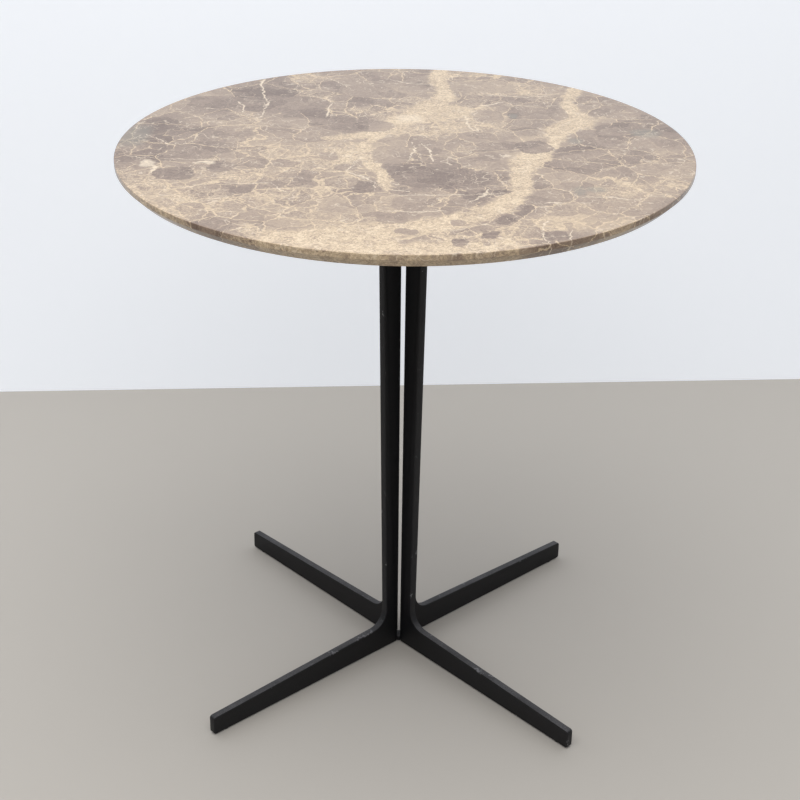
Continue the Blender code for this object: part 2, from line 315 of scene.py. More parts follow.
def marble_disc():
    """The disc's profile is the face, a rounded arris, the upright edge, the bevel, the underside."""
    bevel = (top_high.z - top_low.z) - EDGE_BAND
    edge = eased_outline([
        (0.0, top_high.z, 0.0),
        (TOP_EDGE, top_high.z, TOP_ARRIS),
        (TOP_EDGE, top_high.z - EDGE_BAND, BEVEL_ARRIS),
        (TOP_EDGE - bevel, top_low.z, TOP_ARRIS),
        (0.0, top_low.z, 0.0),
    ])
    out = np.linspace(0, 1, DISC_ROWS)[1:, None]
    inner = TOP_EDGE * 0.985
    face = np.hstack((out * inner, np.full_like(out, top_high.z)))
    inner = TOP_EDGE - bevel * 1.5
    under = np.hstack((out[::-1] * inner, np.full_like(out, top_low.z)))
    disc = turned("marble_disc", np.vstack((edge[:1], face, edge[1:-1], under, edge[-1:])), TOP_STEPS)
    holes = []
    for side in SIDES:
        at = middle_of("top_insert_" + side)
        hole = rod("insert_hole", INSERT_HOLE, top_low.z - 0.004, insert_high.z + 0.0003)
        holes.append(moved(hole, *at))
    return drilled(disc, holes)


# Stone. The bed is broken brown lumps in a cream filling. Where the filling runs in bands the
# lumps are small and few, elsewhere they lie close with hair-thin cream seams between them.
# Places on the disc are (across, along, half width) in millimetres.
STONE_TONES = (
    (0.00, (0.105, 0.058, 0.036)),
    (0.20, (0.190, 0.128, 0.092)),
    (0.42, (0.300, 0.218, 0.158)),
    (0.66, (0.440, 0.330, 0.222)),
    (0.88, (0.605, 0.465, 0.300)),
    (1.00, (0.690, 0.560, 0.400)),
)
FILLING_TONE = 0.80
SEAM = (0.720, 0.600, 0.450)
GREEN_GREY = (0.190, 0.175, 0.140)
FILLING_BANDS = (
    ((35, 345, 12), (30, 300, 14), (42, 250, 12), (45, 212, 14), (22, 170, 18), (0, 112, 24),
     (-30, 62, 14), (-62, 38, 12), (-98, 26, 7)),
    ((-26, 60, 9), (-50, 10, 6), (-48, -30, 10), (-38, -62, 12), (-25, -100, 8), (-14, -150, 6)),
    ((218, 265, 10), (206, 215, 8), (205, 165, 14), (214, 118, 25), (188, 82, 17), (182, 30, 8),
     (150, -30, 22), (140, -80, 14), (138, -150, 12), (112, -205, 20), (60, -255, 22),
     (-20, -285, 26), (-120, -312, 24)),
    ((120, -318, 14), (0, -335, 22), (-110, -335, 20)),
)
FILLING_PATCHES = (
    (-165, -190, 150, 110, 0.28, 0), (0, -300, 200, 70, 0.30, 0),
    (-95, -60, 80, 70, 0.34, 0), (40, 130, 90, 80, 0.34, 0), (300, -40, 60, 120, 0.06, 0),
    (10, 210, 60, 60, 0.30, 0), (-300, -150, 50, 70, 0.36, 0), (120, 260, 70, 90, 0.20, 0),
    (-70, 170, 60, 60, 0.26, 0),
)
DARK_PATCHES = (
    (-180, 165, 130, 75, 0.20, 0),
    (-285, 20, 80, 90, 0.20, 0),
    (-130, 280, 110, 60, 0.12, 0),
    (255, 60, 60, 70, 0.10, 0),
    (50, -110, 85, 60, 0.16, 0),
)
LUMPS = (
    (46, -108, 56, 36, 1.10, 0), (86, -164, 12, 20, 1.12, 0), (14, -198, 20, 22, 1.30, 0),
    (-4, -245, 17, 17, 1.32, 0), (-262, -117, 24, 22, 1.06, 8), (-212, -88, 15, 19, 1.14, -20),
    (157, 14, 21, 24, 1.12, 30), (110, 12, 24, 15, 1.22, 0), (119, -241, 9, 12, 1.02, -25),
    (102, -286, 9, 9, 1.06, 0), (173, -283, 13, 15, 1.20, 0), (71, -311, 8, 10, 1.05, 0),
    (14, -283, 11, 8, 1.18, 0), (99, -312, 4, 7, 1.20, 0), (68, -253, 9, 8, 1.30, 0),
    (-60, 84, 42, 26, 1.20, -8), (-57, 84, 9, 15, 1.05, 10), (135, 140, 8, 15, 1.12, 0),
    (-168, 166, 60, 38, 1.18, 0), (-255, 168, 36, 26, 1.16, 0), (-89, -40, 12, 15, 1.34, 0),
    (-67, -80, 14, 12, 1.28, 0), (-40, -146, 13, 21, 1.16, 0), (-178, -169, 14, 12, 1.22, 0),
    (-143, -146, 12, 11, 1.26, 0), (-113, -123, 12, 12, 1.30, 0), (117, -150, 11, 5, 1.08, 0),
    (190, 158, 12, 32, 1.24, 5), (100, 135, 20, 28, 1.34, 0), (-85, 224, 15, 9, 1.20, 0),
    (93, 266, 46, 28, 1.44, 0), (-40, 245, 58, 38, 1.36, 0), (252, 72, 16, 38, 1.22, 0),
    (30, 1, 17, 26, 1.30, 0), (-15, -30, 22, 34, 1.38, 0),
)
GREEN_LUMPS = (
    (299, 80, 20, 17, 0.55, 0), (208, 42, 9, 12, 0.5, 0), (224, -135, 13, 9, 0.5, 0),
    (205, -140, 7, 16, 0.45, 0), (-334, 20, 18, 46, 0.5, 0), (133, 138, 6, 10, 0.6, 0),
)
SEAMS = (
    ((-207, 275, 2.4), (-205, 245, 1.8), (-196, 200, 1.2), (-186, 165, 1.6), (-190, 135, 1.0),
     (-190, 106, 1.8)),
    ((-227, 172, 0.8), (-218, 153, 1.7), (-215, 126, 0.6)),
    ((-108, 196, 0.6), (-107, 165, 1.8), (-104, 116, 1.9)),
    ((-124, 296, 0.5), (-100, 270, 1.0), (-85, 246, 0.5)),
    ((-42, 300, 0.6), (-12, 277, 1.2), (25, 273, 0.9)),
    ((-264, 141, 0.7), (-246, 135, 1.1)),
    ((8, 22, 1.0), (11, -14, 1.6), (7, -52, 1.0)),
    ((20, 18, 1.0), (31, -14, 1.7), (37, -50, 1.1)),
    ((72, 140, 0.9), (73, 101, 1.6), (87, 70, 1.1)),
    ((83, 124, 0.6), (89, 72, 1.0)),
    ((-322, 24, 0.9), (-302, 6, 1.1), (-285, -12, 0.8), (-296, -34, 0.7)),
    ((-305, -70, 3.0), (-290, -95, 3.4), (-287, -116, 1.2)),
    ((-245, -78, 2.2), (-226, -70, 4.0)),
    ((-8, -153, 2.8), (12, -158, 0.9)),
    ((-5, -172, 1.0), (60, -166, 1.3), (112, -158, 0.8)),
    ((100, -145, 2.0), (96, -165, 2.4), (78, -186, 0.8)),
    ((210, -158, 1.0), (250, -160, 1.6), (285, -176, 1.0)),
    ((165, -184, 1.3), (185, -180, 1.4)),
    ((164, -240, 1.0), (160, -275, 1.2), (166, -312, 0.8)),
    ((192, -262, 0.7), (187, -290, 1.2), (190, -312, 0.9)),
    ((-20, -222, 1.0), (20, -224, 1.5), (55, -214, 1.0)),
    ((-60, -70, 0.7), (-66, -92, 1.2), (-30, -128, 0.9), (-28, -150, 0.8)),
    ((-200, -150, 0.8), (-150, -140, 1.0), (-126, -170, 1.0)),
    ((-330, -60, 0.8), (-250, -66, 0.9), (-180, -58, 0.7)),
    ((100, 232, 0.9), (150, 222, 1.1), (185, 236, 0.9)),
    ((118, 200, 2.2), (104, 186, 2.6), (92, 178, 1.0)),
)
WHITE_PATCHES = (
    (-301, -84, 9, 15, 0.8, 0), (-226, -73, 8, 7, 0.8, 0), (122, -22, 8, 5, 0.7, 0),
    (0, 118, 20, 16, 0.6, 0),
)


def node_group(name, inlets, outlets):
    """A shader node group: inlets are (socket, kind, value), outlets are (socket, kind)."""
    tree = bpy.data.node_groups.new(name, "ShaderNodeTree")
    for label, kind, value in inlets:
        socket = tree.interface.new_socket(label, in_out="INPUT", socket_type="NodeSocket" + kind)
        if value is not None:
            socket.default_value = value
    for label, kind in outlets:
        tree.interface.new_socket(label, in_out="OUTPUT", socket_type="NodeSocket" + kind)
    inside = tree.nodes.new("NodeGroupInput")
    outside = tree.nodes.new("NodeGroupOutput")
    return tree, inside.outputs, outside.inputs


def use(tree, group, inputs, out=0):
    """Places a node group in a tree and returns its output."""
    node = tree.nodes.new("ShaderNodeGroup")
    node.node_tree = group
    for key, value in inputs.items():
        if isinstance(value, bpy.types.NodeSocket):
            tree.links.new(value, node.inputs[key])
        else:
            node.inputs[key].default_value = value
    return node.outputs[out]


def calc(tree, operation, *values, clamp=False):
    settings = {"operation": operation, "use_clamp": clamp}
    return part(tree, "ShaderNodeMath", dict(enumerate(values)), settings)


def vector(tree, operation, *values):
    out = "Value" if operation in ("LENGTH", "DOT_PRODUCT", "DISTANCE") else "Vector"
    inputs = dict(enumerate(values))
    if operation == "SCALE":
        inputs = {0: values[0], "Scale": values[1]}
    return part(tree, "ShaderNodeVectorMath", inputs, {"operation": operation}, out)


def step(tree, value, start, end, low=0.0, high=1.0):
    """low before start, high after end, smooth between them."""
    inputs = {"Value": value, "From Min": start, "From Max": end, "To Min": low, "To Max": high}
    return part(tree, "ShaderNodeMapRange", inputs, {"interpolation_type": "SMOOTHSTEP"})


def noise(tree, place, scale, detail=2.0, rough=0.5, out=0):
    inputs = {"Vector": place, "Scale": scale, "Detail": detail, "Roughness": rough}
    return part(tree, "ShaderNodeTexNoise", inputs, None, out)


def blend(tree, share, first, second, mode="MIX"):
    """first where share is 0, second where it is 1, as a colour."""
    node = tree.nodes.new("ShaderNodeMix")
    node.data_type = "RGBA"
    node.blend_type = mode
    for index, value in ((0, share), (6, first), (7, second)):
        if isinstance(value, bpy.types.NodeSocket):
            tree.links.new(value, node.inputs[index])
        else:
            node.inputs[index].default_value = value if index == 0 else (*value, 1.0)
    return node.outputs[2]


def bent_group():
    """Place moved by up to Reach each way, by a noise of Scale per metre: wavers any pattern."""
    tree, ins, outs = node_group(
        "bent_place",
        (("Place", "Vector", None), ("Reach", "Float", 0.004), ("Scale", "Float", 60.0)),
        (("Place", "Vector"),),
    )
    drift = noise(tree, ins["Place"], ins["Scale"], 3.0, 0.55, "Color")
    centred = vector(tree, "SUBTRACT", drift, (0.5, 0.5, 0.5))
    doubled = calc(tree, "MULTIPLY", ins["Reach"], 2.0)
    moved_by = vector(tree, "SCALE", centred, doubled)
    tree.links.new(vector(tree, "ADD", ins["Place"], moved_by), outs["Place"])
    return tree


def carried_on(tree, carry, change):
    """The carry, a place in x and y with a value in z, whose z becomes change(z)."""
    apart = tree.nodes.new("ShaderNodeSeparateXYZ")
    tree.links.new(carry, apart.inputs[0])
    inputs = {"X": apart.outputs["X"], "Y": apart.outputs["Y"], "Z": change(apart.outputs["Z"])}
    return part(tree, "ShaderNodeCombineXYZ", inputs)


def stroke_group():
    """A line drawn in the stone, whose ends keep their half widths in z.

    The carry's z becomes the lesser of itself and the distance to the line over its half width.
    """
    inlets = (("Carry", "Vector", None), ("From", "Vector", None), ("To", "Vector", None))
    tree, ins, outs = node_group("stroke_in_the_stone", inlets, (("Carry", "Vector"),))
    flat = (1.0, 1.0, 0.0)
    run = vector(tree, "SUBTRACT", ins["To"], ins["From"])
    level_run = vector(tree, "MULTIPLY", run, flat)
    away = vector(tree, "SUBTRACT", ins["Carry"], ins["From"])
    along = vector(tree, "DOT_PRODUCT", away, level_run)
    square = vector(tree, "DOT_PRODUCT", level_run, level_run)
    share = calc(tree, "DIVIDE", along, square, clamp=True)
    nearest = vector(tree, "ADD", ins["From"], vector(tree, "SCALE", run, share))
    gap = vector(tree, "MULTIPLY", vector(tree, "SUBTRACT", ins["Carry"], nearest), flat)
    half = vector(tree, "DOT_PRODUCT", nearest, (0.0, 0.0, 1.0))
    edge = calc(tree, "DIVIDE", vector(tree, "LENGTH", gap), half)
    carry = carried_on(tree, ins["Carry"], lambda z: calc(tree, "MINIMUM", z, edge))
    tree.links.new(carry, outs["Carry"])
    return tree


def lump_group(name, lays_over):
    """A rounded block in the stone: its edge is where the third-power sum of x and y is 1.

    It fades from Core to Rim, as shares of its size. Its Value is laid over the carry's z, or z
    becomes the greater of the two.
    """
    inlets = (("Carry", "Vector", None), ("Middle", "Vector", None), ("Size", "Vector", None),
              ("Turn", "Vector", None), ("Core", "Float", 0.9), ("Rim", "Float", 1.1),
              ("Value", "Float", 1.0))
    tree, ins, outs = node_group(name, inlets, (("Carry", "Vector"),))
    inputs = {"Vector": ins["Carry"], "Location": ins["Middle"], "Rotation": ins["Turn"],
              "Scale": ins["Size"]}
    local = part(tree, "ShaderNodeMapping", inputs, {"vector_type": "TEXTURE"})
    size = vector(tree, "ABSOLUTE", local)
    cube = vector(tree, "MULTIPLY", size, vector(tree, "MULTIPLY", size, size))
    edge = calc(tree, "POWER", vector(tree, "DOT_PRODUCT", cube, (1.0, 1.0, 0.0)), 1 / 3)
    inside = step(tree, edge, ins["Core"], ins["Rim"], 1.0, 0.0)

    def laid(z):
        if lays_over:
            return part(tree, "ShaderNodeMix", {0: inside, 2: z, 3: ins["Value"]})
        return calc(tree, "MAXIMUM", z, calc(tree, "MULTIPLY", inside, ins["Value"]))

    tree.links.new(carried_on(tree, ins["Carry"], laid), outs["Carry"])
    return tree


def broken_group():
    """Broken bed: Depth is how far inside its lump a place is, in metres, and Tint is the lump's own."""
    tree, ins, outs = node_group(
        "broken_bed",
        (("Place", "Vector", None), ("Scale", "Float", 20.0)),
        (("Depth", "Float"), ("Tint", "Float")),
    )
    inputs = {"Vector": ins["Place"], "Scale": ins["Scale"], "Randomness": 1.0}
    edge = part(tree, "ShaderNodeTexVoronoi", inputs, {"feature": "DISTANCE_TO_EDGE"})
    tint = part(tree, "ShaderNodeTexVoronoi", inputs, {"feature": "F1"}, "Color")
    tree.links.new(calc(tree, "DIVIDE", edge, ins["Scale"]), outs["Depth"])
    tree.links.new(vector(tree, "DOT_PRODUCT", tint, (1.0, 0.0, 0.0)), outs["Tint"])
    return tree


BENT, STROKE, BROKEN = bent_group(), stroke_group(), broken_group()
PATCH, LUMP = lump_group("patch_in_the_stone", False), lump_group("lump_in_the_stone", True)
MM = 0.001
FAR = 99.0


def started(tree, place, value):
    """A carry: the place in x and y, and a first value in z."""
    return vector(tree, "MULTIPLY_ADD", place, (1.0, 1.0, 0.0), (0.0, 0.0, value))


def carried(tree, carry):
    return vector(tree, "DOT_PRODUCT", carry, (0.0, 0.0, 1.0))


def nearest_stroke(tree, place, strokes):
    """The distance to the nearest stroke over its half width; a stroke is a run of points."""
    carry = started(tree, place, FAR)
    for run in strokes:
        for start, end in zip(run, run[1:]):
            ends = {"From": [v * MM for v in start], "To": [v * MM for v in end]}
            carry = use(tree, STROKE, {"Carry": carry, **ends})
    return carried(tree, carry)


def lumps_laid(tree, place, group, lumps, core, rim):
    """The carry's z after every lump (across, along, half sizes, value, turn) in turn."""
    carry = started(tree, place, 0.0)
    for across, along, half_long, half_wide, value, turn in lumps:
        inputs = {"Middle": (across * MM, along * MM, 0.0), "Turn": (0.0, 0.0, math.radians(turn)),
                  "Size": (half_long * MM, half_wide * MM, 1.0), "Core": core, "Rim": rim}
        carry = use(tree, group, {"Carry": carry, "Value": value, **inputs})
    return carried(tree, carry)


def marble():
    made, tree, shader = finish_named("honed_marble")
    place = part(tree, "ShaderNodeTexCoord", out="Object")
    wavy = use(tree, BENT, {"Place": place, "Reach": 0.011, "Scale": 26.0})
    rough = use(tree, BENT, {"Place": wavy, "Reach": 0.0042, "Scale": 110.0})
    traced = use(tree, BENT, {"Place": place, "Reach": 0.0075, "Scale": 48.0})
    traced = use(tree, BENT, {"Place": traced, "Reach": 0.0030, "Scale": 190.0})
    grit = calc(tree, "SUBTRACT", noise(tree, rough, 300.0, 6.0, 0.82), 0.5)
    cloud = calc(tree, "SUBTRACT", noise(tree, place, 11.0, 3.0, 0.55), 0.5)

    # How much filling there is, from 0 to 1, and where the bed is crushed small.
    ragged = calc(tree, "MULTIPLY_ADD", grit, 1.6, nearest_stroke(tree, traced, FILLING_BANDS))
    band = step(tree, ragged, 0.35, 1.5, 0.90, 0.0)
    patches = lumps_laid(tree, traced, PATCH, FILLING_PATCHES, 0.45, 1.35)
    filling = calc(tree, "MAXIMUM", band, calc(tree, "ADD", patches, cloud))
    filling = calc(tree, "ADD", filling, calc(tree, "MULTIPLY", cloud, 0.35), clamp=True)
    crush = calc(tree, "ADD", filling, noise(tree, place, 17.0, 2.0, 0.5))

    # Lumps of three sizes, each parted by filling that is wider where there is more of it.
    open_up = calc(tree, "POWER", filling, 2.0)
    solid = None
    tints = []
    for scale, seam, width, start, end in (
        (15.0, 0.0007, 0.012, -1.0, 0.0),
        (34.0, 0.0005, 0.0070, 0.44, 0.66),
        (82.0, 0.0001, 0.0034, 0.72, 0.95),
    ):
        bed = use(tree, BROKEN, {"Place": rough, "Scale": scale})
        tints.append(bed.node.outputs["Tint"])
        half = calc(tree, "MULTIPLY_ADD", open_up, width, seam)
        seam_share = step(tree, bed, calc(tree, "MULTIPLY", half, 0.6), half, 1.0, 0.0)
        broken = calc(tree, "MULTIPLY", step(tree, crush, start, end), seam_share)
        share = calc(tree, "SUBTRACT", 1.0, broken)
        solid = share if solid is None else calc(tree, "MULTIPLY", solid, share)
    lost = step(tree, calc(tree, "SUBTRACT", tints[1], filling), -0.42, -0.25)
    solid = calc(tree, "MULTIPLY", solid, lost)

    # The lumps' own tones: by lump, by cloud, and by where in the slab they lie.
    tone = calc(tree, "MULTIPLY_ADD", calc(tree, "SUBTRACT", tints[0], 0.5), 0.24, 0.36)
    tone = calc(tree, "MULTIPLY_ADD", calc(tree, "SUBTRACT", tints[1], 0.5), 0.20, tone)
    tone = calc(tree, "MULTIPLY_ADD", cloud, 0.45, tone)
    tone = calc(tree, "MULTIPLY_ADD", filling, 0.26, tone)
    dark = lumps_laid(tree, traced, PATCH, DARK_PATCHES, 0.45, 1.35)
    tone = calc(tree, "SUBTRACT", tone, dark)
    chipped = use(tree, BENT, {"Place": traced, "Reach": 0.0026, "Scale": 330.0})
    own = lumps_laid(tree, chipped, LUMP, LUMPS, 0.996, 1.004)
    inside = step(tree, own, 0.4, 0.6, 0.0, 0.80)
    own = calc(tree, "SUBTRACT", own, 1.0)
    own = calc(tree, "MULTIPLY_ADD", calc(tree, "SUBTRACT", tints[1], 0.5), 0.16, own)
    solid = calc(tree, "MAXIMUM", solid, inside)
    tone = part(tree, "ShaderNodeMix", {0: inside, 2: tone, 3: own})

    # Filling is the palest tone, and crushed bed is sandy with brown and cream grains alike.
    tone = part(tree, "ShaderNodeMix", {0: solid, 2: FILLING_TONE, 3: tone})
    sand = step(tree, calc(tree, "SUBTRACT", crush, inside), 0.50, 1.05)
    sandy = calc(tree, "MULTIPLY_ADD", calc(tree, "SUBTRACT", tints[2], 0.5), 0.44, 0.60)
    sandy = calc(tree, "MULTIPLY_ADD", band, 0.14, sandy)
    tone = part(tree, "ShaderNodeMix", {0: calc(tree, "MULTIPLY", sand, 0.50), 2: tone, 3: sandy})
    grainy = calc(tree, "MULTIPLY_ADD", sand, 1.75, 1.05)
    tone = calc(tree, "MULTIPLY_ADD", grit, grainy, tone)
    ramp = tree.nodes.new("ShaderNodeValToRGB")
    bar = ramp.color_ramp.elements
    while len(bar) < len(STONE_TONES):
        bar.new(0.5)
    for stop, (at, colour) in zip(bar, STONE_TONES):
        stop.position = at
        stop.color = (*colour, 1.0)
    tree.links.new(tone, ramp.inputs[0])
    green = lumps_laid(tree, traced, PATCH, GREEN_LUMPS, 0.5, 1.25)
    stone = blend(tree, green, ramp.outputs[0], GREEN_GREY)

    # Pale seams drawn across everything: the chosen ones, then two sizes of hair lines.
    fading = step(tree, noise(tree, place, 75.0, 2.0, 0.5), 0.34, 0.56, 0.25, 0.85)
    seams = step(tree, nearest_stroke(tree, traced, SEAMS), 0.35, 1.05, 1.0, 0.0)
    seams = calc(tree, "MULTIPLY", seams, fading)
    hair = calc(tree, "ABSOLUTE", calc(tree, "SUBTRACT", noise(tree, wavy, 15.0, 3.0, 0.62), 0.5))
    hair = step(tree, hair, 0.001, 0.008, 0.58, 0.0)
    hair = calc(tree, "MULTIPLY", hair, step(tree, noise(tree, place, 30.0), 0.45, 0.62))
    hairs = calc(tree, "ABSOLUTE", calc(tree, "SUBTRACT", noise(tree, rough, 42.0, 2.0, 0.6), 0.5))
    hairs = step(tree, hairs, 0.002, 0.013, 0.52, 0.0)
    hairs = calc(tree, "MULTIPLY", hairs, step(tree, noise(tree, place, 52.0), 0.43, 0.58))
    drawn = calc(tree, "MAXIMUM", seams, calc(tree, "MAXIMUM", hair, hairs))
    white = lumps_laid(tree, traced, PATCH, WHITE_PATCHES, 0.5, 1.1)
    white = calc(tree, "MULTIPLY", white, calc(tree, "MULTIPLY_ADD", grit, 2.0, 0.8), clamp=True)
    stone = blend(tree, calc(tree, "MAXIMUM", drawn, white), stone, SEAM)
    tree.links.new(stone, shader.inputs["Base Color"])

    # Honed and waxed: an even satin, a little duller on the filling, the finest pores left open.
    pores = noise(tree, place, 900.0, 2.0, 0.6)
    sheen = calc(tree, "MULTIPLY_ADD", solid, -0.05, 0.33)
    sheen = calc(tree, "MULTIPLY_ADD", pores, 0.05, sheen)
    tree.links.new(sheen, shader.inputs["Roughness"])
    relief = part(tree, "ShaderNodeBump", {"Strength": 0.10, "Distance": 0.0002, "Height": pores})
    tree.links.new(relief, shader.inputs["Normal"])
    shader.inputs["IOR"].default_value = 1.5
    shader.inputs["Coat Weight"].default_value = 0.25
    shader.inputs["Coat Roughness"].default_value = 0.18
    return made


fitted("marble_top", marble_disc(), marble())


# ---------------------------------------------------------------------------------------------
# Blades. Four like pieces cut from flat steel bar, each a tapering foot and a widening post with
# a round heel between them. Their edges are eased and they are powder coated black.
# ---------------------------------------------------------------------------------------------
BLADE_THICKNESS = 0.0095
BLADE_ARRIS = 0.0008
ARRIS_STEPS = 4
HEEL_ROUNDS = 8  # passes that settle where foot and post would meet
FACE_MARGIN = 0.0012
HEEL_FILLET = 0.0240
FOOT_HEIGHT_AT_AXIS = 0.0381
FOOT_HEIGHT_AT_TIP = 0.0270
TIP_TOP_ROUND = 0.0038
TIP_BOTTOM_ROUND = 0.0030
POST_INNER = (0.0071, 0.0093)
POST_OUTER = (0.0266, 0.0397)
SMALL_CORNER = 0.0009
LEG_ANGLES = {"front_left": 225, "front_right": 315, "rear_right": 45, "rear_left": 135}
CLEARANCE = 0.0003
leg_low, leg_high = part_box("leg_rear_right")
hub_low, hub_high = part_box("foot_hub")
FOOT_UNDERSIDE = leg_low.z
POST_HEAD = leg_high.z
FOOT_REACH = 0.325
SCREW_SHANK = 0.0050
GLIDE_STEM = 0.0040


def leaned(ends, up):
    """Where an edge that leans from ends[0] at the floor to ends[1] at the head stands at up."""
    return ends[0] + (ends[1] - ends[0]) * up / POST_HEAD


def foot_top(across):
    fall = FOOT_HEIGHT_AT_AXIS - FOOT_HEIGHT_AT_TIP
    return FOOT_HEIGHT_AT_AXIS - fall * across / FOOT_REACH


def blade_outline():
    """The blade's outline in (out from the axis, up), anticlockwise from its lower inner corner."""
    notch = (hub_high.x - hub_low.x) / 2 + CLEARANCE
    over_hub = hub_high.z + CLEARANCE
    heel_up = FOOT_HEIGHT_AT_AXIS
    for _ in range(HEEL_ROUNDS):
        heel_up = foot_top(leaned(POST_OUTER, heel_up))
    return eased_outline([
        (notch, FOOT_UNDERSIDE, SMALL_CORNER),
        (FOOT_REACH, FOOT_UNDERSIDE, TIP_BOTTOM_ROUND),
        (FOOT_REACH, FOOT_HEIGHT_AT_TIP, TIP_TOP_ROUND),
        (leaned(POST_OUTER, heel_up), heel_up, HEEL_FILLET),
        (POST_OUTER[1], POST_HEAD, SMALL_CORNER),
        (POST_INNER[1], POST_HEAD, SMALL_CORNER),
        (leaned(POST_INNER, over_hub), over_hub, 0.0),
        (notch, over_hub, 0.0),
    ], closed=True)


def eased_plate(name, outline, thickness, arris):
    """A flat plate with a quarter-round arris along both faces.

    Ring j of the skin is the outline moved inwards by inset[j] at depth[j] across the plate. A
    point moves along the sum of its two sides' inward normals over 1 + their dot product, which
    keeps every side at its inset. Flat faces close the skin within a narrow flat margin. The
    attribute "arris" is 1 on the rounded rings and 0 elsewhere.
    """
    side = np.roll(outline, -1, 0) - outline
    side /= np.linalg.norm(side, axis=1)[:, None]
    normal = np.stack((-side[:, 1], side[:, 0]), 1)
    before = np.roll(normal, 1, 0)
    inward = (normal + before) / (1 + (normal * before).sum(1))[:, None]
    turn = np.linspace(0, np.pi / 2, ARRIS_STEPS + 1)
    inset = arris * (1 - np.sin(turn))
    depth = thickness / 2 - arris * (1 - np.cos(turn))
    inset = np.concatenate(([arris + FACE_MARGIN], inset, inset[::-1], [arris + FACE_MARGIN]))
    depth = np.concatenate(([-thickness / 2], -depth, depth[::-1], [thickness / 2]))
    flat = outline[None] + inset[:, None, None] * inward[None]
    points = np.stack((flat[..., 0], np.repeat(depth[:, None], len(outline), 1), flat[..., 1]), -1)
    rows, count = len(inset), len(outline)
    upper = np.arange(rows - 1)[:, None] * count
    here = np.arange(count)[None]
    after = (here + 1) % count
    quads = np.stack((upper + here, upper + count + here, upper + count + after, upper + after), -1)
    faces = quads.reshape(-1, 4).tolist()
    faces.append(here[0].tolist())
    faces.append((np.arange(count)[::-1] + (rows - 1) * count).tolist())
    mesh = mesh_of(name, points.reshape(-1, 3), faces)
    worn = np.zeros((rows, count))
    worn[1:-1] = 1.0
    mesh.attributes.new("arris", "FLOAT", "POINT").data.foreach_set("value", worn.ravel())
    return mesh


def leg_blade():
    """The plate, drilled in its head for two screws and under its tip for the glide."""
    blade = eased_plate("blade", blade_outline(), BLADE_THICKNESS, BLADE_ARRIS)
    drills = []
    for row in ("inner", "outer"):
        low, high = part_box("post_screw_rear_right_" + row)
        radius = math.hypot((low.x + high.x) / 2, (low.y + high.y) / 2)
        hole = rod("tap_drill", SCREW_SHANK / 2 + CLEARANCE, low.z - CLEARANCE, high.z)
        drills.append(moved(hole, across=radius))
    low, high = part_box("glide_rear_right")
    radius = math.hypot((low.x + high.x) / 2, (low.y + high.y) / 2)
    hole = rod("glide_drill", GLIDE_STEM / 2 + CLEARANCE, -FOOT_UNDERSIDE, high.z + CLEARANCE)
    drills.append(moved(hole, across=radius))
    return drilled(blade, drills)


# Powder coat: black with a fine orange peel and a painted highlight along the arrises, with a few
# nicks where the coat is thin and feet and chairs have touched it. What faces up is greyed, partly by a
# little dust lying there and partly as painted light from above.
COAT_BLACK = (0.0036, 0.0036, 0.0044)
COAT_WORN = (0.16, 0.16, 0.17)
# Grey of the dust and of the painted light from above on what faces up.
DUST_AND_TOP_LIGHT_GREY = (0.135, 0.132, 0.140)


def peel_group():
    """Fine uneven surface: Height for a bump and Grain, an even noise, at Scale per metre."""
    inlets = (("Place", "Vector", None), ("Scale", "Float", 600.0))
    tree, ins, outs = node_group("fine_peel", inlets, (("Height", "Float"), ("Grain", "Float")))
    coarse = noise(tree, ins["Place"], ins["Scale"], 2.0, 0.5)
    tight = calc(tree, "MULTIPLY", ins["Scale"], 3.7)
    grain = noise(tree, ins["Place"], tight, 3.0, 0.65)
    tree.links.new(calc(tree, "MULTIPLY_ADD", grain, 0.45, coarse), outs["Height"])
    tree.links.new(grain, outs["Grain"])
    return tree


def wear_group():
    """Where an edge is rubbed bare: Edge (0 to 1) times a broken noise, more for a higher Amount."""
    inlets = (("Place", "Vector", None), ("Edge", "Float", 1.0), ("Amount", "Float", 0.3))
    tree, ins, outs = node_group("rubbed_edge", inlets, (("Wear", "Float"),))
    broad = noise(tree, ins["Place"], 38.0, 2.0, 0.5)
    fine = noise(tree, ins["Place"], 310.0, 3.0, 0.6)
    both = calc(tree, "MULTIPLY_ADD", broad, 0.6, calc(tree, "MULTIPLY", fine, 0.4))
    lift = calc(tree, "MULTIPLY_ADD", ins["Amount"], 0.25, both)
    spots = step(tree, lift, 0.66, 0.71)
    tree.links.new(calc(tree, "MULTIPLY", spots, ins["Edge"]), outs["Wear"])
    return tree


def dust_and_top_light_group():
    """Dust and painted light from above on what faces up: the normal's rise times a speckle and a cloud,
    times Amount.
    """
    inlets = (("Place", "Vector", None), ("Facing", "Vector", None), ("Amount", "Float", 0.3))
    tree, ins, outs = node_group("dust_and_painted_top_light", inlets, (("DustAndTopLight", "Float"),))
    # The rise greys up-facing faces, partly as dust and partly as painted light from above.
    rise = vector(tree, "DOT_PRODUCT", ins["Facing"], (0.0, 0.0, 1.0))
    rise = step(tree, rise, 0.5, 0.98)
    speck = step(tree, noise(tree, ins["Place"], 900.0, 3.0, 0.7), 0.40, 0.66, 0.35, 1.0)
    cloud = step(tree, noise(tree, ins["Place"], 30.0, 2.0, 0.5), 0.30, 0.70, 0.45, 1.0)
    lying = calc(tree, "MULTIPLY", calc(tree, "MULTIPLY", speck, cloud), rise)
    tree.links.new(calc(tree, "MULTIPLY", lying, ins["Amount"]), outs["DustAndTopLight"])
    return tree


PEEL, WEAR, DUST_AND_TOP_LIGHT = peel_group(), wear_group(), dust_and_top_light_group()


